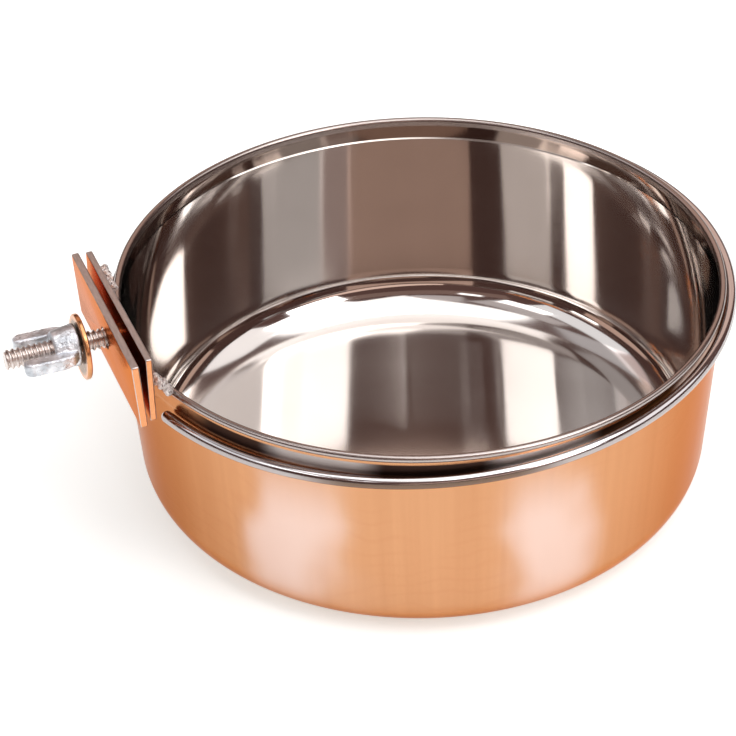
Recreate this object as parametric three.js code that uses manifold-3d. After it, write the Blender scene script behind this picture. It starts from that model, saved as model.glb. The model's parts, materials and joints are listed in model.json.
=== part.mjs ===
// A drawn metal feeding bowl with a bolt-on cage clamp welded to its rim.
// Millimetres, +Z up. The origin is the centre of the bowl's flat foot, and the clamp points along -X.
import * as THREE from 'three';
import { mergeVertices } from 'three/addons/utils/BufferGeometryUtils.js';
import Module from 'manifold-3d';

const wasm = await Module();
wasm.setup();

// Fits
const SEAT_GAP = 0.3; // between pieces that touch
const HOLE_CLEARANCE = 0.35; // radial, round the bolt

// Bowl
const BOWL_HEIGHT = 54.8; // foot to the top of the lip
const SHEET = 0.8;
const LIP_INNER_RADIUS = 70.1;
const LIP_BEAD_RADIUS = 0.85;
const COLLAR_DEPTH = 4.4; // middle of the lip to the crease
const CREASE_HEIGHT = 0.65;
const CREASE_STEP = 0.2; // the wall stands this far out from the collar
const WALL_TAPER = THREE.MathUtils.degToRad(4.6);
const CORNER_RADIUS = 12.5; // outside, wall to base

// Wire ring under the lip
const RING_WIRE_RADIUS = 1.4;
const RING_DROP = 4.2; // middle of the lip to the middle of the wire
const RING_TILT = THREE.MathUtils.degToRad(1.8); // lower at the bracket
const RING_END_INSET = 1.5; // wire's ends, in from the fixed plate's ends
const RING_END_SHOULDER = 0.1; // the ends' round tips are this much slimmer than the wire

// Jaw plates: one welded on upright, the other loose on the bolt and hanging askew
const PLATE_HEIGHT = 16.5;
const PLATE_CORNER = 0.4;
const PLATE_RISE = 11.2; // plate's top edge above the middle of the lip
const FIXED_LENGTH = 47.4;
const FIXED_THICKNESS = 1.6;
const CLAMP_LENGTH = 49.6;
const CLAMP_THICKNESS = 1.8;
const CLAMP_DROP = 0.4; // the loose plate hangs lower than the fixed one
const CLAMP_LEAN = THREE.MathUtils.degToRad(3.6); // top outwards
const CLAMP_SKEW = THREE.MathUtils.degToRad(0.5); // near end outwards
const JAW_GAP = 1.1; // at the bolt; the far bottom corners touch

// Bolt, washer and wing nut
const BOLT_RADIUS = 2.38;
const BOLT_REACH = 28; // flush head to free end
const BOLT_CHAMFER = 0.25;
const HEAD_RADIUS = 3.9;
const HEAD_DEPTH = 1.3;
const WASHER_RADIUS = 7.7;
const WASHER_HOLE_RADIUS = 3.6; // loose on the bolt, so the washer hangs low
const WASHER_THICKNESS = 1.2;
const WASHER_EDGE = 0.3;
const WASHER_STANDOFF = 5.15; // from the loose plate
const HUB_BASE_RADIUS = 5;
const HUB_TOP_RADIUS = 4.2;
const HUB_HEIGHT = 5.8;
const WING_SPAN_RADIUS = 7;
const WING_HEIGHT = 13.4;
const WING_THICKNESS = 3.2;
const WING_EDGE = 0.4;
const WING_ROOT = 0.6; // wall left between the bore and the wing's root
const WING_FOOT = 1; // wing's lowest point above the nut's face
const WING_SHOULDER = 4.6; // where the outer edge turns to run beside the bolt
const WING_TIP_ROUND = 1.4;
const WING_NECK = 0.3; // how far the inner edge swings out past its root

// Weld crusts: a row of shrinking lumps in the wedge between lip and plate
const WELD_INSET = 2.5; // middle of the row, in from the fixed plate's end
const WELD_LUMP_RADIUS = 2.5; // lump nearest the middle of the bracket
const WELD_LUMP_FADE = 0.2; // each lump is smaller than the last by this much
const WELD_LUMP_PITCH = 1.3;
const WELD_LUMPS = 4;
const WELD_NEAR_RISE = 1.9; // first lump above the middle of the lip
const WELD_FAR_RISE = 2.8;
const WELD_STEP_UP = 0.5; // each lump above the last

// Facets
const BOWL_SIDES = 80;
const ARC_STEPS = 4;
const RING_STEPS = 72;
const WIRE_SIDES = 12;
const BOLT_SIDES = 24;
const WASHER_SIDES = 40;
const HUB_SIDES = 32;
const WING_STEPS = 6;
const LUMP_SIDES = 12;

// Derived places
const LIP_CENTRE_RADIUS = LIP_INNER_RADIUS + LIP_BEAD_RADIUS;
const LIP_OUTER_RADIUS = LIP_INNER_RADIUS + 2 * LIP_BEAD_RADIUS;
const LIP_Z = BOWL_HEIGHT - LIP_BEAD_RADIUS;
const COLLAR_FOOT_Z = LIP_Z - COLLAR_DEPTH;
const WALL_TOP_Z = COLLAR_FOOT_Z - CREASE_HEIGHT;
const WALL_TOP_RADIUS = LIP_INNER_RADIUS + SHEET + CREASE_STEP;
const RING_Z = LIP_Z - RING_DROP;
const RING_RADIUS = WALL_TOP_RADIUS + SEAT_GAP + RING_WIRE_RADIUS;
const BOLT_Z = PLATE_RISE - PLATE_HEIGHT / 2; // in the bracket's frame
const CLAMP_FACE = FIXED_THICKNESS + JAW_GAP; // distances out from the fixed plate's back
const WASHER_FACE = CLAMP_FACE + CLAMP_THICKNESS + WASHER_STANDOFF;
const NUT_FACE = WASHER_FACE + WASHER_THICKNESS + SEAT_GAP;
const WASHER_HANG = WASHER_HOLE_RADIUS - BOLT_RADIUS - SEAT_GAP;
const HOLE_RADIUS = BOLT_RADIUS + HOLE_CLEARANCE;

// Finishes
const STEEL = { color: 0xc9c4be, roughness: 0.12, metalness: 1 };
const COPPER = { color: 0xdc9a6c, roughness: 0.2, metalness: 1 };
const ZINC = { color: 0xc3c8cf, roughness: 0.45, metalness: 1 };
const WELD = { color: 0xa9a29b, roughness: 0.6, metalness: 1 };

// Outside radius of the tapered wall at a height.
function wallRadiusAt(z) {
  return WALL_TOP_RADIUS - (WALL_TOP_Z - z) * Math.tan(WALL_TAPER);
}

function solid(geometry) {
  const bare = geometry.clone();
  bare.deleteAttribute('normal');
  bare.deleteAttribute('uv');
  const merged = mergeVertices(bare, 1e-4);
  const vertProperties = new Float32Array(merged.attributes.position.array);
  const triVerts = new Uint32Array(merged.index.array);
  return new wasm.Manifold(new wasm.Mesh({ numProp: 3, vertProperties, triVerts }));
}

function geometryOf(body) {
  const mesh = body.getMesh();
  const geometry = new THREE.BufferGeometry();
  geometry.setAttribute('position', new THREE.BufferAttribute(new Float32Array(mesh.vertProperties), 3));
  geometry.setIndex(new THREE.BufferAttribute(new Uint32Array(mesh.triVerts), 1));
  geometry.computeVertexNormals();
  return geometry;
}

function piece(name, geometry, finish) {
  const mesh = new THREE.Mesh(geometry, new THREE.MeshStandardMaterial(finish));
  mesh.name = name;
  return mesh;
}

// Revolves a profile of radius and height round +Z.
function turnedUpright(points, sides) {
  return new THREE.LatheGeometry(points, sides).rotateX(Math.PI / 2);
}

// Revolves a profile of radius and reach round the bolt's axis, with reach along -X.
function turnedOnBolt(points, sides) {
  return new THREE.LatheGeometry(points, sides).rotateZ(Math.PI / 2);
}

function corners(...pairs) {
  return pairs.map(([x, y]) => new THREE.Vector2(x, y));
}

// Middle of the bottom corner's arcs, placed so that the wall runs into them without a kink.
function cornerCentreRadius() {
  const arcTop = CORNER_RADIUS * (1 - Math.sin(WALL_TAPER));
  return wallRadiusAt(arcTop) - CORNER_RADIUS * Math.cos(WALL_TAPER);
}

// One skin of the bowl, from the flat foot's edge up to the collar's foot.
function skinPoints(inset) {
  const path = new THREE.Path();
  const centre = cornerCentreRadius();
  path.absarc(centre, CORNER_RADIUS, CORNER_RADIUS - inset, -Math.PI / 2, -WALL_TAPER, false);
  path.lineTo(WALL_TOP_RADIUS - inset, WALL_TOP_Z);
  path.lineTo(WALL_TOP_RADIUS - CREASE_STEP - inset, COLLAR_FOOT_Z);
  return path.getPoints(ARC_STEPS);
}

function lipPoints() {
  const start = -Math.PI / 2;
  const lip = new THREE.Path();
  lip.absarc(LIP_CENTRE_RADIUS, LIP_Z, LIP_BEAD_RADIUS, start, Math.PI, false);
  return lip.getPoints(ARC_STEPS + 1);
}

function bowlGeometry() {
  const outside = skinPoints(0);
  const inside = skinPoints(SHEET).reverse();
  const bottom = [new THREE.Vector2(0, 0)];
  const floor = [new THREE.Vector2(0, SHEET)];
  const points = [...bottom, ...outside, ...lipPoints(), ...inside, ...floor];
  return turnedUpright(points, BOWL_SIDES);
}

// The ring's middle line, open at the bracket.
class RingLine extends THREE.Curve {
  getPoint(t, target = new THREE.Vector3()) {
    const opening = Math.asin((FIXED_LENGTH / 2 - RING_END_INSET) / RING_RADIUS);
    const angle = Math.PI + opening + t * 2 * (Math.PI - opening);
    return target.set(RING_RADIUS * Math.cos(angle), RING_RADIUS * Math.sin(angle), 0);
  }
}

function ringGeometry() {
  const line = new RingLine();
  const wire = new THREE.Shape();
  wire.absarc(0, 0, RING_WIRE_RADIUS, 0, 2 * Math.PI, false);
  const settings = { steps: RING_STEPS, curveSegments: WIRE_SIDES / 2, extrudePath: line };
  let ring = solid(new THREE.ExtrudeGeometry(wire, settings));
  for (const end of [line.getPoint(0), line.getPoint(1)]) {
    const tip = new THREE.SphereGeometry(RING_WIRE_RADIUS - RING_END_SHOULDER, WIRE_SIDES, WIRE_SIDES / 2);
    ring = ring.add(solid(tip.translate(end.x, end.y, end.z)));
  }
  return geometryOf(ring).rotateY(-RING_TILT).translate(0, 0, RING_Z);
}

function roundedRectangle(length, bottom, top) {
  const side = length / 2;
  const inner = side - PLATE_CORNER;
  const outline = new THREE.Shape();
  outline.moveTo(-inner, bottom);
  outline.absarc(inner, bottom + PLATE_CORNER, PLATE_CORNER, -Math.PI / 2, 0, false);
  outline.absarc(inner, top - PLATE_CORNER, PLATE_CORNER, 0, Math.PI / 2, false);
  outline.absarc(-inner, top - PLATE_CORNER, PLATE_CORNER, Math.PI / 2, Math.PI, false);
  outline.absarc(-inner, bottom + PLATE_CORNER, PLATE_CORNER, Math.PI, 1.5 * Math.PI, false);
  return outline;
}

// A plate that stands across the bolt, with its back at the given reach along -X.
function plateGeometry(outline, reach, thickness) {
  const across = new THREE.Vector3(0, -1, 0);
  const up = new THREE.Vector3(0, 0, 1);
  const out = new THREE.Vector3(-1, 0, 0);
  const settings = { depth: thickness, bevelEnabled: false, curveSegments: ARC_STEPS };
  const plate = new THREE.ExtrudeGeometry(outline, settings);
  return plate.applyMatrix4(new THREE.Matrix4().makeBasis(across, up, out)).translate(-reach, 0, 0);
}

// The bolt's outline grown by a clearance: flush cone head, plain shank and chamfered end.
function boltGeometry(clearance) {
  const headSlope = (HEAD_RADIUS - BOLT_RADIUS) / HEAD_DEPTH;
  const head = HEAD_RADIUS + clearance * (1 + headSlope);
  const shank = BOLT_RADIUS + clearance;
  const end = BOLT_REACH + clearance;
  const points = corners(
    [0, -clearance],
    [head, -clearance],
    [shank, HEAD_DEPTH],
    [shank, end - BOLT_CHAMFER],
    [shank - BOLT_CHAMFER, end],
    [0, end],
  );
  return turnedOnBolt(points, BOLT_SIDES).translate(0, 0, BOLT_Z);
}

function fixedPlateGeometry() {
  const outline = roundedRectangle(FIXED_LENGTH, PLATE_RISE - PLATE_HEIGHT, PLATE_RISE);
  const blank = plateGeometry(outline, 0, FIXED_THICKNESS);
  return geometryOf(solid(blank).subtract(solid(boltGeometry(SEAT_GAP))));
}

// The loose plate, about the point where the bolt enters its inner face.
function clampPlateGeometry() {
  const top = PLATE_HEIGHT / 2 - CLAMP_DROP;
  const outline = roundedRectangle(CLAMP_LENGTH, top - PLATE_HEIGHT, top);
  const hole = new THREE.Path();
  hole.absarc(0, 0, HOLE_RADIUS, 0, 2 * Math.PI, true);
  outline.holes.push(hole);
  return plateGeometry(outline, 0, CLAMP_THICKNESS);
}

function clampPlate() {
  const plate = piece('clamp_plate', clampPlateGeometry(), COPPER);
  plate.position.set(-CLAMP_FACE, 0, BOLT_Z);
  plate.rotation.set(0, -CLAMP_LEAN, -CLAMP_SKEW);
  return plate;
}

function washerGeometry() {
  const front = WASHER_FACE + WASHER_THICKNESS;
  const points = corners(
    [WASHER_HOLE_RADIUS, WASHER_FACE],
    [WASHER_RADIUS - WASHER_EDGE, WASHER_FACE],
    [WASHER_RADIUS, WASHER_FACE + WASHER_EDGE],
    [WASHER_RADIUS, front - WASHER_EDGE],
    [WASHER_RADIUS - WASHER_EDGE, front],
    [WASHER_HOLE_RADIUS, front],
    [WASHER_HOLE_RADIUS, WASHER_FACE],
  );
  return turnedOnBolt(points, WASHER_SIDES).translate(0, 0, BOLT_Z - WASHER_HANG);
}

function hubGeometry() {
  const top = NUT_FACE + HUB_HEIGHT;
  const points = corners(
    [HOLE_RADIUS, NUT_FACE],
    [HUB_BASE_RADIUS, NUT_FACE],
    [HUB_TOP_RADIUS, top],
    [HOLE_RADIUS, top],
    [HOLE_RADIUS, NUT_FACE],
  );
  return turnedOnBolt(points, HUB_SIDES);
}

// One ear, swept out from the hub and then forward beside the bolt.
function wingGeometry() {
  const root = HOLE_RADIUS + WING_ROOT + WING_EDGE;
  const span = WING_SPAN_RADIUS - WING_EDGE;
  const tip = WING_HEIGHT - WING_EDGE;
  const neck = root + WING_NECK;
  const outline = new THREE.Shape();
  outline.moveTo(root, WING_FOOT);
  outline.bezierCurveTo(HUB_BASE_RADIUS, WING_FOOT, span, WING_FOOT, span, WING_SHOULDER);
  outline.lineTo(span, tip - WING_TIP_ROUND);
  outline.quadraticCurveTo(span, tip, span - WING_TIP_ROUND, tip);
  outline.bezierCurveTo(neck, tip, neck, HUB_HEIGHT + WING_NECK, root, HUB_HEIGHT - WING_EDGE);
  const settings = {
    depth: WING_THICKNESS - 2 * WING_EDGE,
    bevelThickness: WING_EDGE,
    bevelSize: WING_EDGE,
    bevelSegments: 2,
    curveSegments: WING_STEPS,
  };
  const wing = new THREE.ExtrudeGeometry(outline, settings);
  return wing.translate(0, NUT_FACE, WING_EDGE - WING_THICKNESS / 2).rotateZ(Math.PI / 2);
}

function wingNutGeometry() {
  const hub = solid(hubGeometry());
  const wing = solid(wingGeometry());
  const otherWing = solid(wingGeometry().rotateX(Math.PI));
  return geometryOf(hub.add(wing).add(otherWing)).translate(0, 0, BOLT_Z);
}

// Where the bracket stands: its back face touches the lip.
function bracketGroup() {
  const bracket = new THREE.Group();
  bracket.position.set(-(LIP_OUTER_RADIUS + SEAT_GAP), 0, LIP_Z);
  bracket.updateMatrixWorld();
  return bracket;
}

// Space taken by the bowl's outside, its lip and the fixed plate, each grown by the seat gap.
function weldKeepOut(bracket) {
  const bowl = corners(
    [0, COLLAR_FOOT_Z],
    [LIP_CENTRE_RADIUS + SEAT_GAP, COLLAR_FOOT_Z],
    [LIP_CENTRE_RADIUS + SEAT_GAP, LIP_Z],
    [0, LIP_Z],
  );
  const lip = new THREE.TorusGeometry(LIP_CENTRE_RADIUS, LIP_BEAD_RADIUS + SEAT_GAP, LUMP_SIDES, BOWL_SIDES);
  const slabDepth = 4 * WELD_LUMP_RADIUS;
  const slab = new THREE.BoxGeometry(slabDepth, 2 * FIXED_LENGTH, 2 * PLATE_HEIGHT);
  slab.translate(SEAT_GAP - slabDepth / 2, 0, 0).applyMatrix4(bracket.matrixWorld);
  return solid(turnedUpright(bowl, BOWL_SIDES)).add(solid(lip.translate(0, 0, LIP_Z))).add(solid(slab));
}

function weldGeometry(side, rise, bracket) {
  const middle = FIXED_LENGTH / 2 - WELD_INSET;
  let crust = null;
  for (let index = 0; index < WELD_LUMPS; index += 1) {
    const y = side * (middle + (index - (WELD_LUMPS - 1) / 2) * WELD_LUMP_PITCH);
    const wallX = -Math.sqrt(LIP_OUTER_RADIUS ** 2 - y ** 2);
    const plateX = bracket.position.x;
    const z = LIP_Z + rise + index * WELD_STEP_UP;
    const radius = WELD_LUMP_RADIUS - index * WELD_LUMP_FADE;
    const lump = new THREE.SphereGeometry(radius, LUMP_SIDES, LUMP_SIDES / 2);
    const body = solid(lump.translate((wallX + plateX) / 2, y, z));
    crust = crust ? crust.add(body) : body;
  }
  return geometryOf(crust.subtract(weldKeepOut(bracket)));
}

const bracket = bracketGroup();
bracket.add(
  piece('fixed_plate', fixedPlateGeometry(), COPPER),
  piece('clamp_bolt', boltGeometry(0), STEEL),
  clampPlate(),
  piece('washer', washerGeometry(), COPPER),
  piece('wing_nut', wingNutGeometry(), ZINC),
);

const bowlAssembly = new THREE.Group();
bowlAssembly.add(
  piece('bowl', bowlGeometry(), COPPER),
  piece('rim_ring', ringGeometry(), STEEL),
  piece('weld_near', weldGeometry(-1, WELD_NEAR_RISE, bracket), WELD),
  piece('weld_far', weldGeometry(1, WELD_FAR_RISE, bracket), WELD),
  bracket,
);

export default bowlAssembly;
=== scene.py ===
"""Cage mounted dog bowl: its looks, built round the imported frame. Metres, +Z up."""
import json
import math

import bpy
from mathutils import Matrix, Vector


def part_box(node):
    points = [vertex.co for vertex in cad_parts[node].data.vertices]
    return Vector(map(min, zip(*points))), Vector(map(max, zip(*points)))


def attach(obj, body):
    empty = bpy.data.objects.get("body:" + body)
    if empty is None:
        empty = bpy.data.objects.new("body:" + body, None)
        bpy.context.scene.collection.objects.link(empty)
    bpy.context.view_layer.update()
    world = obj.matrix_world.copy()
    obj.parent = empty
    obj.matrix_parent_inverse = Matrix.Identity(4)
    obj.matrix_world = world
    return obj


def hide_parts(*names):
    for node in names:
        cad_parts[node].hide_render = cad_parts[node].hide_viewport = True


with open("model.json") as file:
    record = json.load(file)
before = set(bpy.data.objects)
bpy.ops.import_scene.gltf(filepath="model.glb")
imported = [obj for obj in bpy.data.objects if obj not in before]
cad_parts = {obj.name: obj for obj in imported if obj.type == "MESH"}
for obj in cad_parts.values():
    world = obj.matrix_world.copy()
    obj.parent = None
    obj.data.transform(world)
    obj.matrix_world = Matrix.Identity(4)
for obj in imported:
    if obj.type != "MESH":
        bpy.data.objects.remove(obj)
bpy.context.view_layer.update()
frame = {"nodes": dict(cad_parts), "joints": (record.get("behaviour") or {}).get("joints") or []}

# Camera, as the photograph was taken
FRAME_PIXELS = 736
FOCAL_PIXELS = 3000
SENSOR_WIDTH = 36
CAMERA_AZIMUTH = math.radians(-19.53)
CAMERA_ELEVATION = math.radians(35.54)
CAMERA_ROLL = math.radians(-1.76)
CAMERA_DISTANCE = 0.70422
CAMERA_AIM_HEIGHT = 0.05395
CAMERA_SHIFT_RIGHT = -0.01202
CAMERA_SHIFT_UP = -0.0216

# Lights and floor
LIGHT_DISTANCE = 1.3
FLOOR_SIZE = 6
WHITE = (1.0, 1.0, 1.0)
COOL = (0.92, 0.97, 1.0)
ROSE = (1.0, 0.86, 0.84)
WARM = (1.0, 0.74, 0.62)

# Bowl
SHEET = 0.0008
LIP_BEAD = 0.00085
LIP_STEPS = 16
COLLAR_DEPTH = 0.0044
CREASE_HEIGHT = 0.00065
CREASE_STEP = 0.0002
CREASE_ROUND = 0.0003
WALL_TAPER = math.radians(4.6)
CORNER_RADIUS = 0.0125
BOWL_STEPS = 288
OUTSIDE_FACING = 0.05
UNDERSIDE_FACING = -0.5

# Painted highlight patches and painted shade in the groove outside, by degrees about the bowl's axis and by
# height
HIGHLIGHT_FACING = -111.5
HIGHLIGHT_SPACING = 45
HIGHLIGHT_SWAY = 0.5
HIGHLIGHT_SHARPNESS = 3.5
HIGHLIGHT_FOOT = (-0.004, 0.016)
HIGHLIGHT_TOP = (0.03, 0.055)
FRONT_FACING = -109
SHADE_SPACING = 41

# Wire ring under the lip
RING_WIRE = 0.0014
RING_TILT = math.radians(1.8)
RING_END = 0.0222
RING_STEPS = 220
WIRE_SIDES = 24
DOME_RINGS = 5
DOME_CAP = 0.5

# Jaw plates, of which the loose one hangs askew
PLATE_CORNER = 0.0004
PLATE_CORNER_STEPS = 6
PLATE_EDGE = 0.00016
PLATE_EDGE_ANGLE = math.radians(50)
PLATE_FACING = 0.9
CLAMP_LEAN = math.radians(3.6)
CLAMP_SKEW = math.radians(0.5)

# Weld crusts: drops and grit, then shares of the crust's box, then radians from drop to drop
WELD_DROPS = 16
WELD_VOXEL = 0.00016
WELD_GRAIN = 0.0011
WELD_GRIT = 0.0009
WELD_FINE_GRAIN = 0.0004
WELD_FINE_GRIT = 0.0004
WELD_SWAY = 0.28
WELD_LENGTH = 0.76
WELD_CLIMB = 0.34
WELD_HEAVE = 0.24
WELD_DROP_SIZE = 0.24
WELD_UNEVEN = 0.3
SWAY_STEP = 2.3
HEAVE_STEP = 4.1
SIZE_STEP = 1.7

# Bolt
BOLT_RADIUS = 0.00238
THREAD_PITCH = 0.00127
THREAD_DEPTH = 0.00055
THREAD_CREST = 0.00018
THREAD_ROOT = 0.00012
THREAD_STEPS = 40
THREAD_SLACK = 0.00002
THREAD_RUN_IN = 2
BOLT_CHAMFER = 0.00025
HEAD_RADIUS = 0.0039
HEAD_DEPTH = 0.0013
HOLE_CLEARANCE = 0.00035
BORE_RADIUS = BOLT_RADIUS + HOLE_CLEARANCE
BOLT_STEPS = 64

# Washer
WASHER_ROUND = 0.0004
WASHER_BORE_ROUND = 0.0001
WASHER_BORE = 0.0036
WASHER_HANG = 0.00092
WASHER_STEPS = 96
# Painted shade round the nut: full inside the first radius, gone outside the second
NUT_SHADE_RADIUS = 0.0058
NUT_SHADE_EDGE = 0.0071

# Wing nut
HUB_BASE = 0.005
HUB_TOP = 0.0042
HUB_HEIGHT = 0.0058
HUB_ROUND = 0.0005
BORE_FOOT_ROUND = 0.0002
BORE_TOP_ROUND = 0.0003
WING_REACH = 0.007
WING_HEIGHT = 0.0136
WING_THICKNESS = 0.0032
WING_VOXEL = 0.0002
CAST_SMOOTHING = 0.5
CAST_PASSES = 4
CAST_GRAIN = 0.0007
CAST_PITS = 0.00026
EAR_EDGE = 0.0006
EAR_EDGE_ANGLE = math.radians(60)

# Outline of one ear: distance from the bolt's axis, and height above the nut's face
EAR_ROOT = BORE_RADIUS + 0.001
EAR_OUTLINE = [
    (EAR_ROOT, 0.001),
    (0.0052, 0.0011),
    (0.0064, 0.0022),
    (WING_REACH, 0.0046),
    (WING_REACH, WING_HEIGHT - 0.0012),
    (WING_REACH - 0.001, WING_HEIGHT),
    (0.0043, WING_HEIGHT),
    (0.0037, WING_HEIGHT - 0.0008),
    (EAR_ROOT - 0.0002, HUB_HEIGHT + 0.001),
    (EAR_ROOT, HUB_HEIGHT - 0.0004),
]

# Modelling
ARC_STEP = math.radians(3)
EDGE_STEPS = 3
SMOOTH_ANGLE = math.radians(32)
MERGE_DISTANCE = 1e-6
FULL_TURN = 2 * math.pi

# Sockets of a Mix node that mixes colours
MIX_SHARE = 0
MIX_FIRST = 6
MIX_SECOND = 7
MIX_RESULT = 2


# Places read from the frame

joints = {joint["name"]: joint for joint in frame["joints"]}
OUT = Vector(joints["nut_spin"]["axis"]).normalized()
NEAR = Vector((0, -1, 0))
UP = OUT.cross(NEAR)
NUT_FACE = Vector(joints["nut_spin"]["pos_m"])


def reach_of(node, direction, start):
    """Least and greatest distance of a node's corners from a start, along a direction."""
    places = [(corner.co - start).dot(direction) for corner in frame["nodes"][node].data.vertices]
    return min(places), max(places)


BOLT_FOOT = NUT_FACE + OUT * reach_of("clamp_bolt", OUT, NUT_FACE)[0]
BRACKET = Matrix((NEAR, UP, OUT)).transposed().to_4x4()
BRACKET.translation = BOLT_FOOT
bowl_low, bowl_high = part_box("bowl")
LIP_RADIUS = bowl_high.x - LIP_BEAD
LIP_HEIGHT = bowl_high.z - LIP_BEAD
BEAD_FOOT = LIP_HEIGHT - LIP_BEAD
COLLAR_RADIUS = LIP_RADIUS - LIP_BEAD + SHEET
COLLAR_FOOT = LIP_HEIGHT - COLLAR_DEPTH
WALL_TOP = COLLAR_FOOT - CREASE_HEIGHT


# Modelling steps

def begin(name):
    """Names the primitive that was just added and opens it for editing."""
    piece = bpy.context.object
    piece.name = name
    piece.data.name = name
    bpy.ops.object.mode_set(mode="EDIT")
    bpy.ops.mesh.select_all(action="SELECT")
    return piece


def deselect():
    bpy.ops.object.select_all(action="DESELECT")


def only(piece):
    """Makes a piece the only one selected, and the active one."""
    deselect()
    piece.select_set(True)
    bpy.context.view_layer.objects.active = piece


def settle(piece, place=None):
    """Puts the piece's place in its mesh, with the object at the origin."""
    if place is not None:
        piece.matrix_world = place @ piece.matrix_world
        bpy.context.view_layer.update()
    only(piece)
    bpy.ops.object.transform_apply(location=True, rotation=True, scale=True)


def close_up(piece, place=None):
    """Merges doubles, turns faces outwards, ends editing and puts the place in the mesh."""
    bpy.ops.mesh.select_all(action="SELECT")
    bpy.ops.mesh.remove_doubles(threshold=MERGE_DISTANCE)
    bpy.ops.mesh.normals_make_consistent(inside=False)
    bpy.ops.object.mode_set(mode="OBJECT")
    settle(piece, place)


def smooth(piece):
    only(piece)
    bpy.ops.object.shade_smooth_by_angle(angle=SMOOTH_ANGLE)


def modify(piece, kind, **settings):
    """Adds a modifier and applies it."""
    only(piece)
    modifier = piece.modifiers.new(kind.lower(), kind)
    for name, value in settings.items():
        setattr(modifier, name, value)
    bpy.ops.object.modifier_apply(modifier=modifier.name)


def fuse(piece, tool, operation):
    """Joins, cuts or keeps what two solids share, and removes the tool."""
    modify(piece, "BOOLEAN", object=tool, operation=operation, solver="EXACT")
    bpy.data.objects.remove(tool)


def ease_edges(piece, width, angle):
    """Rounds the edges that turn by more than an angle."""
    modify(piece, "BEVEL", width=width, segments=EDGE_STEPS, limit_method="ANGLE", angle_limit=angle)


def roughen(piece, name, grain, depth):
    """Pushes the skin in and out by clouds of a grain's size."""
    clouds = bpy.data.textures.new(name, "CLOUDS")
    clouds.noise_scale = grain
    modify(piece, "DISPLACE", texture=clouds, texture_coords="LOCAL", strength=depth, mid_level=0.5)


def lone_vertex(name, place):
    """A flat square shrunk to one vertex, from which an outline is drawn."""
    deselect()
    bpy.ops.mesh.primitive_plane_add(size=SHEET, location=place)
    piece = begin(name)
    bpy.ops.mesh.merge(type="CENTER")
    return piece


def draw_line(points):
    """Extrudes the chosen vertex from point to point of an outline in the XZ plane."""
    for (radius, height), (next_radius, next_height) in zip(points, points[1:]):
        step = (next_radius - radius, 0, next_height - height)
        bpy.ops.mesh.extrude_vertices_move(TRANSFORM_OT_translate={"value": step})


def turned(name, points, steps, place=None):
    """Spins an outline of radius and height round its own axis."""
    piece = lone_vertex(name, (points[0][0], 0, points[0][1]))
    draw_line(points)
    bpy.ops.mesh.select_all(action="SELECT")
    bpy.ops.mesh.spin(steps=steps, angle=FULL_TURN, center=(0, 0, 0), axis=(0, 0, 1))
    close_up(piece, place)
    return piece


def rounded(corners):
    """A line through corners of radius, height and rounding, with each rounding an arc."""
    points = []
    for index, (radius, height, rounding) in enumerate(corners):
        corner = Vector((radius, height))
        if not rounding or index in (0, len(corners) - 1):
            points.append((radius, height))
            continue
        before = (Vector(corners[index - 1][:2]) - corner).normalized()
        after = (Vector(corners[index + 1][:2]) - corner).normalized()
        half = before.angle(after) / 2
        centre = corner + (before + after).normalized() * (rounding / math.sin(half))
        start = corner + before * (rounding / math.tan(half)) - centre
        turn = start.angle_signed(corner + after * (rounding / math.tan(half)) - centre)
        count = max(2, math.ceil(abs(turn) / ARC_STEP))
        for number in range(count + 1):
            spoke = start.copy()
            spoke.rotate(Matrix.Rotation(-turn * number / count, 2))
            points.append(tuple(centre + spoke))
    return points


# Shader sums

class Amount:
    """A number in a material, with sums that add Math nodes."""

    def __init__(self, finish, socket):
        self.finish = finish
        self.socket = socket

    def maths(self, operation, first, second):
        return self.finish.amount("ShaderNodeMath", {"operation": operation}, {0: first, 1: second})

    def __add__(self, other):
        return self.maths("ADD", self, other)

    def __sub__(self, other):
        return self.maths("SUBTRACT", self, other)

    def __rsub__(self, other):
        return self.maths("SUBTRACT", other, self)

    def __mul__(self, other):
        return self.maths("MULTIPLY", self, other)

    def __truediv__(self, other):
        return self.maths("DIVIDE", self, other)

    def __pow__(self, other):
        return self.maths("POWER", self, other)

    __radd__ = __add__


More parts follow.
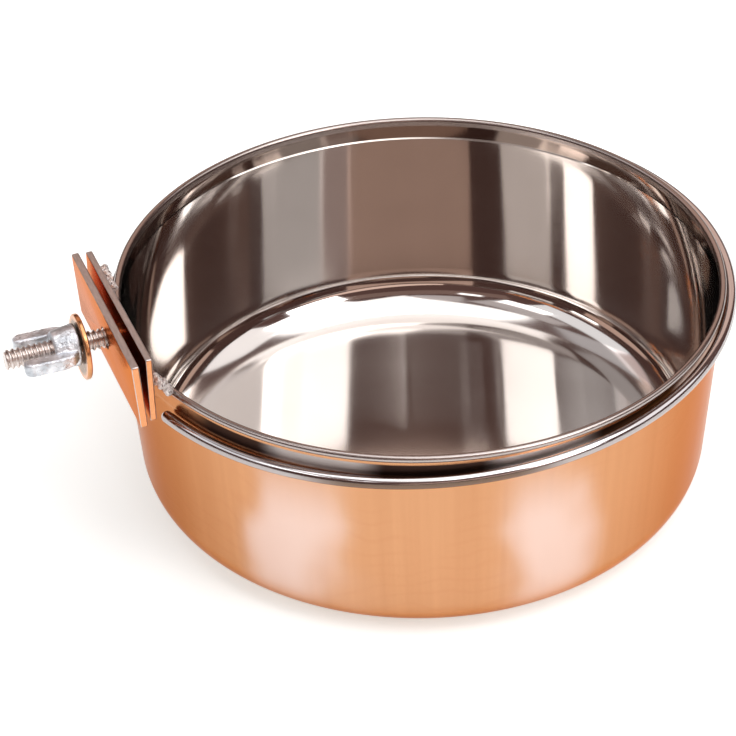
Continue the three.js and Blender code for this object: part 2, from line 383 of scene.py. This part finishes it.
class Finish:
    """A material and the nodes that it is made of."""

    def __init__(self, name, **constants):
        self.material = bpy.data.materials.new(name)
        self.material.use_nodes = True
        self.tree = self.material.node_tree
        self.shader = self.tree.nodes["Principled BSDF"]
        self.set(**constants)

    def set(self, **values):
        """Sets or links the shader's own sockets, with spaces for underscores."""
        for name, value in values.items():
            self.feed(self.shader.inputs[name.replace("_", " ").title()], value)

    def feed(self, socket, value):
        """Links an amount or a socket, or sets a plain value."""
        if isinstance(value, Amount):
            self.tree.links.new(value.socket, socket)
        elif isinstance(value, bpy.types.NodeSocket):
            self.tree.links.new(value, socket)
        else:
            socket.default_value = value

    def node(self, kind, settings=None, inputs=None):
        """Adds a node with its settings, then the values or links of its sockets."""
        made = self.tree.nodes.new(kind)
        for name, value in (settings or {}).items():
            setattr(made, name, value)
        for name, value in (inputs or {}).items():
            self.feed(made.inputs[name], value)
        return made

    def amount(self, kind, settings=None, inputs=None):
        """Adds a node and gives its first output as an amount."""
        return Amount(self, self.node(kind, settings, inputs).outputs[0])

    def place(self):
        """Object coordinates."""
        return self.node("ShaderNodeTexCoord").outputs["Object"]

    def split(self, vector):
        parts = self.node("ShaderNodeSeparateXYZ", None, {0: vector})
        return [Amount(self, part) for part in parts.outputs]

    def joined(self, x, y, z):
        return self.node("ShaderNodeCombineXYZ", None, {0: x, 1: y, 2: z}).outputs[0]

    def noise(self, vector, scale, detail=2.0, roughness=0.5):
        inputs = {"Vector": vector, "Scale": scale, "Detail": detail, "Roughness": roughness}
        return self.amount("ShaderNodeTexNoise", None, inputs)

    def stretched(self, x, y, z, detail=2.0):
        """Noise with a scale of its own along each of three amounts."""
        return self.noise(self.joined(x, y, z), 1.0, detail)

    def cosine(self, value):
        return self.amount("ShaderNodeMath", {"operation": "COSINE"}, {0: value})

    def band(self, value, low, high):
        """0 below low, 1 above high, smooth between."""
        settings = {"interpolation_type": "SMOOTHSTEP", "clamp": True}
        inputs = {"Value": value, "From Min": low, "From Max": high}
        return self.amount("ShaderNodeMapRange", settings, inputs)

    def blend(self, share, first, second):
        """Colour that goes from the first to the second with a share."""
        inputs = {MIX_SHARE: share, MIX_FIRST: first, MIX_SECOND: second}
        return self.node("ShaderNodeMix", {"data_type": "RGBA"}, inputs).outputs[MIX_RESULT]

    def bump(self, height, strength, distance):
        inputs = {"Height": height, "Strength": strength, "Distance": distance}
        self.set(normal=self.node("ShaderNodeBump", None, inputs).outputs[0])


def colour(red, green, blue):
    return (red, green, blue, 1.0)


def around(finish):
    """Angle about the bowl's axis, distance from it and height, of a point."""
    x, y, z = finish.split(finish.place())
    angle = finish.amount("ShaderNodeMath", {"operation": "ARCTAN2"}, {0: y, 1: x})
    distance = (x * x + y * y) ** 0.5
    return angle, distance, z


# Finishes

def polished_steel():
    """Mirror inside, with a satin floor where it is scoured, painted shade darkening the collar, and a
    duller lip.
    """
    finish = Finish("polished_steel", metallic=1.0)
    _, distance, height = around(finish)
    lip = finish.band(height, LIP_HEIGHT - 1.4 * LIP_BEAD, BEAD_FOOT)
    floor = 1 - finish.band(height, 2 * SHEET, 9 * SHEET)
    rings = finish.stretched(distance * 900, height * 900, 0.0, detail=3.0)
    cloud = finish.noise(finish.place(), 45.0, detail=3.0)
    collar = finish.band(height, COLLAR_FOOT - CREASE_ROUND, COLLAR_FOOT + CREASE_ROUND)
    steel = finish.blend(cloud, colour(0.62, 0.585, 0.56), colour(0.7, 0.665, 0.64))
    # Painted shade: the collar above the crease darkened to brown.
    steel = finish.blend(collar * 0.8, steel, colour(0.33, 0.26, 0.22))
    finish.set(base_color=finish.blend(lip, steel, colour(0.42, 0.37, 0.35)))
    finish.set(roughness=0.03 + rings * 0.02 + cloud * 0.02 + floor * 0.09 + lip * 0.2)
    waves = finish.noise(finish.place(), 30.0, detail=1.0)
    finish.bump(waves + rings * 0.003, strength=0.06, distance=0.0012)
    return finish.material


def outside_painted_reflection():
    """Painted reflection: copper colour standing in for a reflected wooden surface, with pale patches of
    painted highlight, faint wavy lines of painted wood-grain reflection, painted shade towards the sides,
    and a groove of painted shade that is dark and grey by turns.
    """
    finish = Finish("outside_painted_reflection", metallic=1.0, specular_tint=colour(0.85, 0.55, 0.42))
    angle, distance, height = around(finish)
    patch = finish.stretched(angle * 3, height * 30, distance * 30)
    warp = finish.stretched(angle * 2.2, height * 26, distance * 26)
    facing = finish.cosine((angle - math.radians(HIGHLIGHT_FACING)) * 2)
    # Pale patches of painted highlight, at fixed bearings about the axis, between a foot and a top height.
    swayed = angle + (warp - 0.5) * HIGHLIGHT_SWAY - math.radians(HIGHLIGHT_FACING + HIGHLIGHT_SPACING / 2)
    painted_highlight = finish.cosine(swayed * (360 / HIGHLIGHT_SPACING))
    painted_highlight = finish.band(painted_highlight, -1.0, 1.0) ** HIGHLIGHT_SHARPNESS * finish.band(facing, 0.0, 0.5)
    painted_highlight = painted_highlight * finish.band(height, *HIGHLIGHT_FOOT) * (1 - finish.band(height, *HIGHLIGHT_TOP))
    # Faint wavy lines: painted reflection of wood grain, also bumped a little.
    rings = finish.band(finish.cosine(height * 1500 + angle * 2 + warp * 40), 0.5, 1.0)
    rings = rings * finish.band(patch, 0.42, 0.62)
    streak = finish.stretched(angle * 26, height * 8, distance * 8, detail=3.0)
    # Painted shade: the colour darkens towards the bowl's sides.
    edge = 1 - finish.band(facing, -0.8, 0.3)
    # Copper colour painted in as the reflection of a wooden surface, in faint streaks.
    painted_wood_reflection = finish.blend(streak, colour(0.51, 0.242, 0.117), colour(0.605, 0.314, 0.163))
    painted_wood_reflection = finish.blend(edge * 0.8, painted_wood_reflection, colour(0.45, 0.187, 0.09))
    painted_wood_reflection = finish.blend(rings * 0.14, painted_wood_reflection, colour(0.5, 0.21, 0.1))
    painted_wood_reflection = finish.blend(painted_highlight * (0.68 + patch * 0.3), painted_wood_reflection, colour(0.72, 0.545, 0.485))
    # Painted shade in the groove under the lip, dark and grey by turns round the bowl; near the bracket and
    # just under the lip it stays copper.
    under_lip = finish.band(height, LIP_HEIGHT - 2.3 * LIP_BEAD, LIP_HEIGHT - 1.9 * LIP_BEAD)
    groove = finish.band(height, WALL_TOP, WALL_TOP + CREASE_HEIGHT) * (1 - under_lip)
    groove = groove * finish.band(finish.cosine(angle), -0.95, -0.88)
    shade = finish.cosine((angle - math.radians(FRONT_FACING)) * (360 / SHADE_SPACING))
    shade = finish.band(shade, -0.6, 0.3)
    grey = finish.blend(shade, colour(0.5, 0.45, 0.43), colour(0.05, 0.028, 0.022))
    finish.set(base_color=finish.blend(groove, painted_wood_reflection, grey))
    finish.set(roughness=0.15 + streak * 0.06 + patch * 0.08 + groove * 0.2)
    finish.bump(streak + rings, strength=0.03, distance=0.0005)
    return finish.material


def ring_steel(level):
    """Polished wire, rougher underneath with painted shade there, darkest at the front, with its middle at
    a level.
    """
    finish = Finish("ring_steel", metallic=1.0)
    x, _, z = finish.split(finish.place())
    angle, distance, height = around(finish)
    # Painted light: the top of the wire gets a lighter colour than its underside, which is in painted
    # shade.
    over = finish.band((z - level - x * math.sin(RING_TILT)) / RING_WIRE, 0.26, 0.66)
    draw = finish.stretched(distance * 2200, height * 2200, angle * 9)
    bright = finish.blend(draw, colour(0.56, 0.54, 0.55), colour(0.74, 0.72, 0.73))
    front = finish.band(finish.cosine(angle - math.radians(FRONT_FACING)), 0.9, 0.975)
    under = finish.blend(front, colour(0.42, 0.385, 0.38), colour(0.17, 0.115, 0.085))
    finish.set(base_color=finish.blend(over, under, bright))
    finish.set(roughness=0.2 + draw * 0.08 - over * 0.13)
    finish.bump(draw, strength=0.03, distance=0.0003)
    return finish.material


def plate_painted_reflection():
    """Copper colour painted in as the reflection of a wooden surface, with a grain along its length."""
    finish = Finish("plate_painted_reflection", metallic=1.0, specular_tint=colour(0.8, 0.45, 0.3))
    x, y, z = finish.split(finish.place())
    grain = finish.stretched(x * 60, y * 60, z * 900, detail=3.0)
    finish.set(base_color=finish.blend(grain, colour(0.62, 0.25, 0.105), colour(0.74, 0.335, 0.165)))
    finish.set(roughness=0.16 + grain * 0.1)
    finish.bump(grain, strength=0.05, distance=0.0004)
    return finish.material


def sheared_edge():
    """Bare grey metal, torn by the shears."""
    finish = Finish("sheared_edge", metallic=1.0)
    x, y, z = finish.split(finish.place())
    grain = finish.stretched(x * 2500, y * 500, z * 2500, detail=3.0)
    finish.set(base_color=finish.blend(grain, colour(0.36, 0.33, 0.32), colour(0.74, 0.7, 0.69)))
    finish.set(roughness=0.28 + grain * 0.15)
    finish.bump(grain, strength=0.3, distance=0.0002)
    return finish.material


def weld_crust():
    """Silvery grit with dark pores and a copper tint here and there."""
    finish = Finish("weld_crust", metallic=1.0)
    place = finish.place()
    grit = finish.noise(place, 1500.0, detail=4.0, roughness=0.7)
    tint = finish.noise(place, 500.0)
    pores = finish.band(grit, 0.32, 0.55)
    silver = finish.blend(pores, colour(0.2, 0.15, 0.14), colour(0.95, 0.92, 0.9))
    finish.set(base_color=finish.blend(finish.band(tint, 0.52, 0.75), silver, colour(0.85, 0.6, 0.5)))
    finish.set(roughness=0.26 + tint * 0.3)
    finish.bump(grit, strength=0.9, distance=0.0006)
    return finish.material


def bolt_steel():
    """Plated steel, worn unevenly."""
    finish = Finish("bolt_steel", metallic=1.0)
    wear = finish.noise(finish.place(), 700.0, detail=3.0)
    finish.set(base_color=finish.blend(wear, colour(0.5, 0.42, 0.38), colour(0.86, 0.81, 0.79)))
    finish.set(roughness=0.2 + wear * 0.16)
    finish.bump(wear, strength=0.12, distance=0.0002)
    return finish.material


def washer_painted_reflection():
    """Copper colour painted in as reflection at its rim, and painted shade darkening it round the nut."""
    finish = Finish("washer_painted_reflection", metallic=1.0)
    stain = finish.noise(finish.place(), 420.0, detail=3.0)
    _, y, z = finish.split(finish.place())
    rise = z - (BOLT_FOOT.z - WASHER_HANG)
    # Painted shade round the nut, fading out between two radii; the rim keeps the painted copper
    # reflection.
    nut_shade = 1 - finish.band((y * y + rise * rise) ** 0.5, NUT_SHADE_RADIUS, NUT_SHADE_EDGE)
    rim = finish.blend(stain, colour(0.72, 0.33, 0.15), colour(0.6, 0.29, 0.13))
    finish.set(base_color=finish.blend(nut_shade * 0.9, rim, colour(0.2, 0.135, 0.085)))
    finish.set(roughness=0.13 + stain * 0.15 + nut_shade * 0.08)
    finish.bump(stain, strength=0.05, distance=0.0002)
    return finish.material


def cast_zinc():
    """Clouded satin zinc with darker pits."""
    finish = Finish("cast_zinc", metallic=1.0)
    place = finish.place()
    pits = finish.noise(place, 1500.0, detail=4.0, roughness=0.7)
    cloud = finish.band(finish.noise(place, 260.0), 0.35, 0.65)
    bright = finish.blend(cloud, colour(0.5, 0.53, 0.57), colour(0.87, 0.9, 0.95))
    pitted = 1 - finish.band(pits, 0.3, 0.45)
    finish.set(base_color=finish.blend(pitted, bright, colour(0.4, 0.4, 0.42)))
    finish.set(roughness=0.26 + pits * 0.2)
    finish.bump(pits, strength=0.55, distance=0.0004)
    return finish.material


def pale_floor():
    """A white ground that glows a little, as in a cut-out photograph."""
    finish = Finish("pale_floor", roughness=0.6, emission_strength=0.5)
    finish.set(emission_color=colour(0.88, 1.0, 1.0))
    cloud = finish.noise(finish.place(), 6.0)
    finish.set(base_color=finish.blend(cloud, colour(0.9, 0.9, 0.9), colour(0.93, 0.93, 0.93)))
    return finish.material


# Bowl

def wall_radius(height):
    """Outside radius of the tapered wall."""
    return COLLAR_RADIUS + CREASE_STEP - (WALL_TOP - height) * math.tan(WALL_TAPER)


def skin(inset):
    """Corners of one skin of the bowl, from the middle of its foot up to the lip."""
    collar = COLLAR_RADIUS - inset
    return [
        (0, inset, 0),
        (wall_radius(inset) - inset, inset, CORNER_RADIUS - inset),
        (wall_radius(WALL_TOP) - inset, WALL_TOP, CREASE_ROUND),
        (collar, COLLAR_FOOT, CREASE_ROUND),
        (collar, BEAD_FOOT, 0),
    ]


def lip_points():
    """The lip's round bead, from under its outside over to its inside."""
    points = []
    for number in range(1, LIP_STEPS + 1):
        angle = math.pi * (-0.5 + 1.5 * number / LIP_STEPS)
        radius = LIP_RADIUS + LIP_BEAD * math.cos(angle)
        points.append((radius, LIP_HEIGHT + LIP_BEAD * math.sin(angle)))
    return points


def make_bowl():
    outside = rounded(skin(0))
    inside = rounded(skin(SHEET)[:-1] + [(LIP_RADIUS - LIP_BEAD, LIP_HEIGHT, 0)])
    bowl = turned("bowl_shell", outside + lip_points() + inside[::-1][1:], BOWL_STEPS)
    bowl.data.materials.append(polished_steel())
    bowl.data.materials.append(outside_painted_reflection())
    # Faces that look outward or down take the painted copper reflection; the inside and the lip keep the
    # steel.
    for face in bowl.data.polygons:
        outward = face.normal.xy.dot(face.center.xy.normalized()) > OUTSIDE_FACING
        underside = face.normal.z < UNDERSIDE_FACING
        on_lip = face.center.z > BEAD_FOOT
        face.material_index = int((outward or underside) and not on_lip)
    smooth(bowl)
    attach(bowl, "bowl_body")
    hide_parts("bowl")


# Wire ring

def make_ring():
    low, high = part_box("rim_ring")
    radius = (high.y - low.y) / 2 - RING_WIRE
    opening = math.asin(RING_END / radius)
    deselect()
    bpy.ops.mesh.primitive_circle_add(
        vertices=WIRE_SIDES, radius=RING_WIRE, location=(radius, 0, 0), rotation=(math.pi / 2, 0, 0)
    )
    ring = begin("rim_ring_wire")
    arc = FULL_TURN - 2 * opening
    bpy.ops.mesh.spin(steps=RING_STEPS, angle=-arc, center=(0, 0, 0), axis=(0, 0, 1))
    dome_end(arc, radius, 1)
    select_ring_start(ring)
    dome_end(0, radius, -1)
    tilt = Matrix.Rotation(-RING_TILT, 4, "Y")
    turn = Matrix.Rotation(math.pi + opening, 4, "Z")
    level = (low.z + high.z) / 2
    place = Matrix.Translation((0, 0, level)) @ tilt @ turn
    close_up(ring, place)
    ring.data.materials.append(ring_steel(level))
    smooth(ring)
    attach(ring, "bowl_body")
    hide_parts("rim_ring")


def select_ring_start(ring):
    """Chooses the loop of edges at the wire's first end, which lies on the X axis.

    Known fault: the other end's cap is extruded along with this loop, into a needle across the gap.
    """
    bpy.ops.object.mode_set(mode="OBJECT")
    for vertex in ring.data.vertices:
        place = ring.matrix_world @ vertex.co
        vertex.select = abs(place.y) < MERGE_DISTANCE and place.x > 0
    for edge in ring.data.edges:
        edge.select = all(ring.data.vertices[index].select for index in edge.vertices)
    bpy.ops.object.mode_set(mode="EDIT")


def dome_end(angle, radius, side):
    """Extrudes the chosen loop into a dome, in shrinking rings, and caps it."""
    centre = Vector((radius * math.cos(angle), radius * math.sin(angle), 0))
    along = Vector((-math.sin(angle), math.cos(angle), 0)) * side
    reach, size = 0.0, 1.0
    for number in range(1, DOME_RINGS + 1):
        rise = math.pi / 2 * number / (DOME_RINGS + DOME_CAP)
        step = RING_WIRE * math.sin(rise) - reach
        bpy.ops.mesh.extrude_edges_move(TRANSFORM_OT_translate={"value": along * step})
        reach += step
        scale = math.cos(rise) / size
        bpy.ops.transform.resize(value=(scale, scale, scale), center_override=centre + along * reach)
        size *= scale
    bpy.ops.mesh.edge_face_add()


# Jaw plates

def plate_place(node, lean, skew):
    """Frame of a plate, from where the bolt enters its inner face: near, up and out."""
    turn = Matrix.Rotation(-lean, 3, "Y") @ Matrix.Rotation(-skew, 3, "Z")
    near, up, out = turn @ NEAR, turn @ UP, turn @ OUT
    place = Matrix((near, up, out)).transposed().to_4x4()
    place.translation = BOLT_FOOT + OUT * (reach_of(node, out, BOLT_FOOT)[0] / OUT.dot(out))
    return place


def make_plate(name, node, body, lean=0.0, skew=0.0):
    """A plate with a bore, with painted copper reflection on its broad faces and near end, grey on its
    other edges.
    """
    place = plate_place(node, lean, skew)
    spans = [reach_of(node, axis.to_3d(), place.translation) for axis in place.transposed()[:3]]
    size = [high - low for low, high in spans]
    middle = [(high + low) / 2 for low, high in spans]
    deselect()
    bpy.ops.mesh.primitive_cube_add(size=1, location=middle)
    plate = begin(name)
    bpy.ops.transform.resize(value=size, center_override=middle)
    round_corners(plate)
    bpy.ops.object.mode_set(mode="OBJECT")
    settle(plate)
    fuse(plate, bore_tool(node, size[2]), "DIFFERENCE")
    ease_edges(plate, PLATE_EDGE, PLATE_EDGE_ANGLE)
    plate.data.materials.append(plate_painted_reflection())
    plate.data.materials.append(sheared_edge())
    # Broad faces and the near end take the painted copper reflection; the other edges take the grey.
    for face in plate.data.polygons:
        broad = abs(face.normal.z) >= PLATE_FACING
        near_end = face.normal.x >= PLATE_FACING
        face.material_index = int(not broad and not near_end)
    settle(plate, place)
    smooth(plate)
    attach(plate, body)
    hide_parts(node)


def round_corners(plate):
    """Bevels the four edges that run through the plate's thickness."""
    bpy.ops.object.mode_set(mode="OBJECT")
    bpy.ops.object.transform_apply(location=True)
    for edge in plate.data.edges:
        first, second = (plate.data.vertices[index].co for index in edge.vertices)
        edge.select = abs(first.z - second.z) > MERGE_DISTANCE
    for item in (*plate.data.vertices, *plate.data.polygons):
        item.select = False
    bpy.ops.object.mode_set(mode="EDIT")
    bpy.ops.mesh.select_mode(type="EDGE")
    bpy.ops.mesh.bevel(offset=PLATE_CORNER, segments=PLATE_CORNER_STEPS, affect="EDGES")
    bpy.ops.mesh.select_mode(type="VERT")


def bore_tool(node, thickness):
    """A bar on the bolt's axis that runs past a plate, with the head's cone for the fixed plate."""
    mouth = BORE_RADIUS
    if node == "fixed_plate":
        mouth = HEAD_RADIUS + HOLE_CLEARANCE
    bar = [(0, -thickness), (mouth, -thickness), (mouth, 0), (BORE_RADIUS, HEAD_DEPTH)]
    bar += [(BORE_RADIUS, 2 * thickness), (0, 2 * thickness)]
    return turned("bore_tool", bar, BOLT_STEPS)


# Weld crusts

def make_weld(name, node, seed):
    """A row of uneven drops, melted together and then roughened."""
    low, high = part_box(node)
    middle, size = (low + high) / 2, high - low
    side = math.copysign(1, middle.y)
    deselect()
    drops = []
    for number in range(WELD_DROPS):
        share = number / (WELD_DROPS - 1) - 0.5
        sway = WELD_SWAY * math.sin(seed + SWAY_STEP * number)
        heave = WELD_HEAVE * math.cos(seed * 3 + HEAVE_STEP * number)
        away = Vector((sway, WELD_LENGTH * share, WELD_CLIMB * share * side + heave))
        place = middle + Vector(part * length for part, length in zip(away, size))
        radius = WELD_DROP_SIZE * size.x * (1 + WELD_UNEVEN * math.cos(seed + SIZE_STEP * number))
        bpy.ops.mesh.primitive_ico_sphere_add(subdivisions=3, radius=radius, location=place)
        drops.append(bpy.context.object)
    for drop in drops:
        drop.select_set(True)
    bpy.ops.object.join()
    weld = bpy.context.object
    weld.name = name
    settle(weld)
    modify(weld, "REMESH", mode="VOXEL", voxel_size=WELD_VOXEL)
    for grain, grit in ((WELD_GRAIN, WELD_GRIT), (WELD_FINE_GRAIN, WELD_FINE_GRIT)):
        roughen(weld, name + "_grit", grain, grit)
    weld.data.materials.append(weld_crust())
    smooth(weld)
    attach(weld, "bowl_body")
    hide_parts(node)


# Bolt

def threaded_rod(start, end):
    """A rod whose skin is one helical thread, which runs past a start and an end."""
    root = BOLT_RADIUS - THREAD_DEPTH
    flank = (THREAD_PITCH - THREAD_ROOT - THREAD_CREST) / 2
    low = start - THREAD_RUN_IN * THREAD_PITCH
    steps = [(root, 0), (root, THREAD_ROOT), (BOLT_RADIUS, THREAD_ROOT + flank)]
    steps += [(BOLT_RADIUS, THREAD_PITCH - flank), (root, THREAD_PITCH)]
    rod = lone_vertex("clamp_bolt_thread", (root, 0, low))
    draw_line(steps)
    bpy.ops.object.mode_set(mode="OBJECT")
    settle(rod)
    turns = math.ceil((end - low) / THREAD_PITCH) + 1
    modify(
        rod, "SCREW", axis="Z", angle=FULL_TURN, screw_offset=THREAD_PITCH, iterations=turns,
        steps=THREAD_STEPS, render_steps=THREAD_STEPS, use_merge_vertices=False, use_smooth_shade=True,
    )
    only(rod)
    bpy.ops.object.mode_set(mode="EDIT")
    bpy.ops.mesh.select_all(action="SELECT")
    bpy.ops.mesh.remove_doubles(threshold=MERGE_DISTANCE)
    bpy.ops.mesh.fill_holes(sides=0)
    close_up(rod)
    return rod


def make_bolt():
    end = reach_of("clamp_bolt", OUT, BOLT_FOOT)[1]
    start = HEAD_DEPTH / 2
    core = BOLT_RADIUS - THREAD_DEPTH
    tip = BOLT_RADIUS - BOLT_CHAMFER
    shank = BOLT_RADIUS + THREAD_SLACK
    sleeve = [(0, start), (shank, start), (shank, end - BOLT_CHAMFER), (tip, end), (0, end)]
    head_foot = HEAD_DEPTH * (HEAD_RADIUS - core) / (HEAD_RADIUS - BOLT_RADIUS)
    head = [(0, 0), (HEAD_RADIUS, 0), (core, head_foot), (0, head_foot)]
    bolt = threaded_rod(start, end)
    fuse(bolt, turned("bolt_sleeve", sleeve, BOLT_STEPS), "INTERSECT")
    fuse(bolt, turned("bolt_head", head, BOLT_STEPS), "UNION")
    settle(bolt, BRACKET)
    bolt.data.materials.append(bolt_steel())
    smooth(bolt)
    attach(bolt, "bowl_body")
    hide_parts("clamp_bolt")


# Washer

def make_washer():
    back, front = reach_of("washer", OUT, BOLT_FOOT)
    bottom, top = reach_of("washer", UP, BOLT_FOOT)
    radius = (top - bottom) / 2
    middle = (back + front) / 2
    outline = [
        (WASHER_BORE, middle, 0),
        (WASHER_BORE, back, WASHER_BORE_ROUND),
        (radius, back, WASHER_ROUND),
        (radius, front, WASHER_ROUND),
        (WASHER_BORE, front, WASHER_BORE_ROUND),
        (WASHER_BORE, middle, 0),
    ]
    hang = Matrix.Translation(UP * (top + bottom) / 2)
    washer = turned("nut_washer", rounded(outline), WASHER_STEPS, hang @ BRACKET)
    washer.data.materials.append(washer_painted_reflection())
    smooth(washer)
    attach(washer, "washer")
    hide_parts("washer")


# Wing nut

def make_wing_nut():
    face = reach_of("wing_nut", OUT, BOLT_FOOT)[0]
    top = face + HUB_HEIGHT
    middle = (face + top) / 2
    outline = [
        (BORE_RADIUS, middle, 0),
        (BORE_RADIUS, face, BORE_FOOT_ROUND),
        (HUB_BASE, face, HUB_ROUND),
        (HUB_TOP, top, HUB_ROUND),
        (BORE_RADIUS, top, BORE_TOP_ROUND),
        (BORE_RADIUS, middle, 0),
    ]
    nut = turned("wing_nut_cast", rounded(outline), BOLT_STEPS)
    for side in (1, -1):
        fuse(nut, wing_ear(face, side), "UNION")
    modify(nut, "REMESH", mode="VOXEL", voxel_size=WING_VOXEL)
    modify(nut, "SMOOTH", factor=CAST_SMOOTHING, iterations=CAST_PASSES)
    roughen(nut, "cast_pits", CAST_GRAIN, CAST_PITS)
    settle(nut, BRACKET)
    nut.data.materials.append(cast_zinc())
    smooth(nut)
    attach(nut, "wing_nut")
    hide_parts("wing_nut")


def wing_ear(face, side):
    """One ear: its outline, given its thickness and rounded."""
    outline = [(radius, face + height) for radius, height in EAR_OUTLINE]
    ear = lone_vertex("wing_ear", (outline[0][0], 0, outline[0][1]))
    draw_line(outline)
    bpy.ops.mesh.select_all(action="SELECT")
    bpy.ops.mesh.edge_face_add()
    bpy.ops.mesh.extrude_region_move(TRANSFORM_OT_translate={"value": (0, WING_THICKNESS, 0)})
    bpy.ops.mesh.select_all(action="SELECT")
    bpy.ops.transform.translate(value=(0, -WING_THICKNESS / 2, 0))
    close_up(ear)
    ease_edges(ear, EAR_EDGE, EAR_EDGE_ANGLE)
    if side < 0:
        settle(ear, Matrix.Rotation(math.pi, 4, "Z"))
    return ear


# Stage

def make_floor():
    deselect()
    bpy.ops.mesh.primitive_plane_add(size=FLOOR_SIZE, location=(0, 0, bowl_low.z))
    floor = bpy.context.object
    floor.name = "floor"
    settle(floor)
    floor.data.materials.append(pale_floor())


def add_softbox(name, bearing, rise, spread, depth, brightness, tint, upright=False):
    """An area light round the bowl: its bearing from +Y, its rise, width and depth in degrees."""
    bearing, rise = math.radians(bearing), math.radians(rise)
    level = math.cos(rise)
    towards = Vector((math.sin(bearing) * level, math.cos(bearing) * level, math.sin(rise)))
    facing = Vector((-towards.x, -towards.y, 0)) if upright else -towards
    light = bpy.data.lights.new(name, "AREA")
    light.shape = "RECTANGLE"
    light.size = 2 * LIGHT_DISTANCE * math.tan(math.radians(spread) / 2)
    light.size_y = 2 * LIGHT_DISTANCE * math.tan(math.radians(depth) / 2)
    light.energy = brightness * math.pi * light.size * light.size_y
    light.color = tint
    lamp = bpy.data.objects.new(name, light)
    bpy.context.scene.collection.objects.link(lamp)
    lamp.location = towards * LIGHT_DISTANCE
    lamp.rotation_euler = facing.to_track_quat("-Z", "Y").to_euler()


def make_lights():
    world = bpy.data.worlds.new("room")
    bpy.context.scene.world = world
    world.use_nodes = True
    background = world.node_tree.nodes["Background"]
    background.inputs["Color"].default_value = colour(0.13, 0.07, 0.06)
    background.inputs["Strength"].default_value = 1.0
    add_softbox("overhead", 150, 85, 46, 46, 2.0, WHITE)
    add_softbox("left_window", -106, 46, 18, 9, 2.8, WHITE)
    add_softbox("left_high_card", -100, 57, 30, 13, 0.5, WHITE)
    add_softbox("left_card", -80, 38, 42, 18, 1.05, COOL)
    add_softbox("left_back_card", -44, 36, 20, 18, 0.62, ROSE)
    add_softbox("left_back_high_card", -42, 52, 23, 22, 0.5, COOL)
    add_softbox("right_window", 143, 52, 30, 26, 2.6, WHITE)
    add_softbox("right_strip", 153, 34, 21, 15, 4.5, WHITE)
    add_softbox("right_card", 107, 42, 32, 32, 1.2, WHITE)
    add_softbox("back_card", 13.5, 39, 80, 30, 0.7, WARM, upright=True)
    add_softbox("front_high_card", 168, 59.5, 32, 14, 1.6, WHITE)
    add_softbox("front_left_high_card", -150, 58, 17, 14, 0.5, WHITE)
    add_softbox("front_card", -163, 43, 70, 10, 0.13, WARM)
    add_softbox("front_low_card", 180, 19, 57, 14, 0.85, WARM)
    add_softbox("front_left_strip", -135, 43, 8, 4, 2.2, WHITE)


def make_camera():
    azimuth, elevation, roll = CAMERA_AZIMUTH, CAMERA_ELEVATION, CAMERA_ROLL
    level = math.cos(elevation)
    back = Vector((math.sin(azimuth) * level, -math.cos(azimuth) * level, math.sin(elevation)))
    across = Vector((math.cos(azimuth), math.sin(azimuth), 0))
    rise = back.cross(across)
    right = across * math.cos(roll) + rise * math.sin(roll)
    up = rise * math.cos(roll) - across * math.sin(roll)
    place = back * CAMERA_DISTANCE + right * CAMERA_SHIFT_RIGHT + up * CAMERA_SHIFT_UP
    place.z += CAMERA_AIM_HEIGHT
    camera = bpy.data.objects.new("camera", bpy.data.cameras.new("camera"))
    camera.data.sensor_width = SENSOR_WIDTH
    camera.data.lens = FOCAL_PIXELS / FRAME_PIXELS * SENSOR_WIDTH
    camera.matrix_world = Matrix.Translation(place) @ Matrix((right, up, back)).transposed().to_4x4()
    bpy.context.scene.collection.objects.link(camera)
    bpy.context.scene.camera = camera


make_bowl()
make_ring()
make_plate("fixed_jaw_plate", "fixed_plate", "bowl_body")
make_plate("clamp_jaw_plate", "clamp_plate", "clamp_plate", CLAMP_LEAN, CLAMP_SKEW)
make_weld("weld_crust_near", "weld_near", 1.0)
make_weld("weld_crust_far", "weld_far", 2.0)
make_bolt()
make_washer()
make_wing_nut()
make_floor()
make_lights()
make_camera()
bpy.context.scene.view_settings.view_transform = "Standard"

deselect()
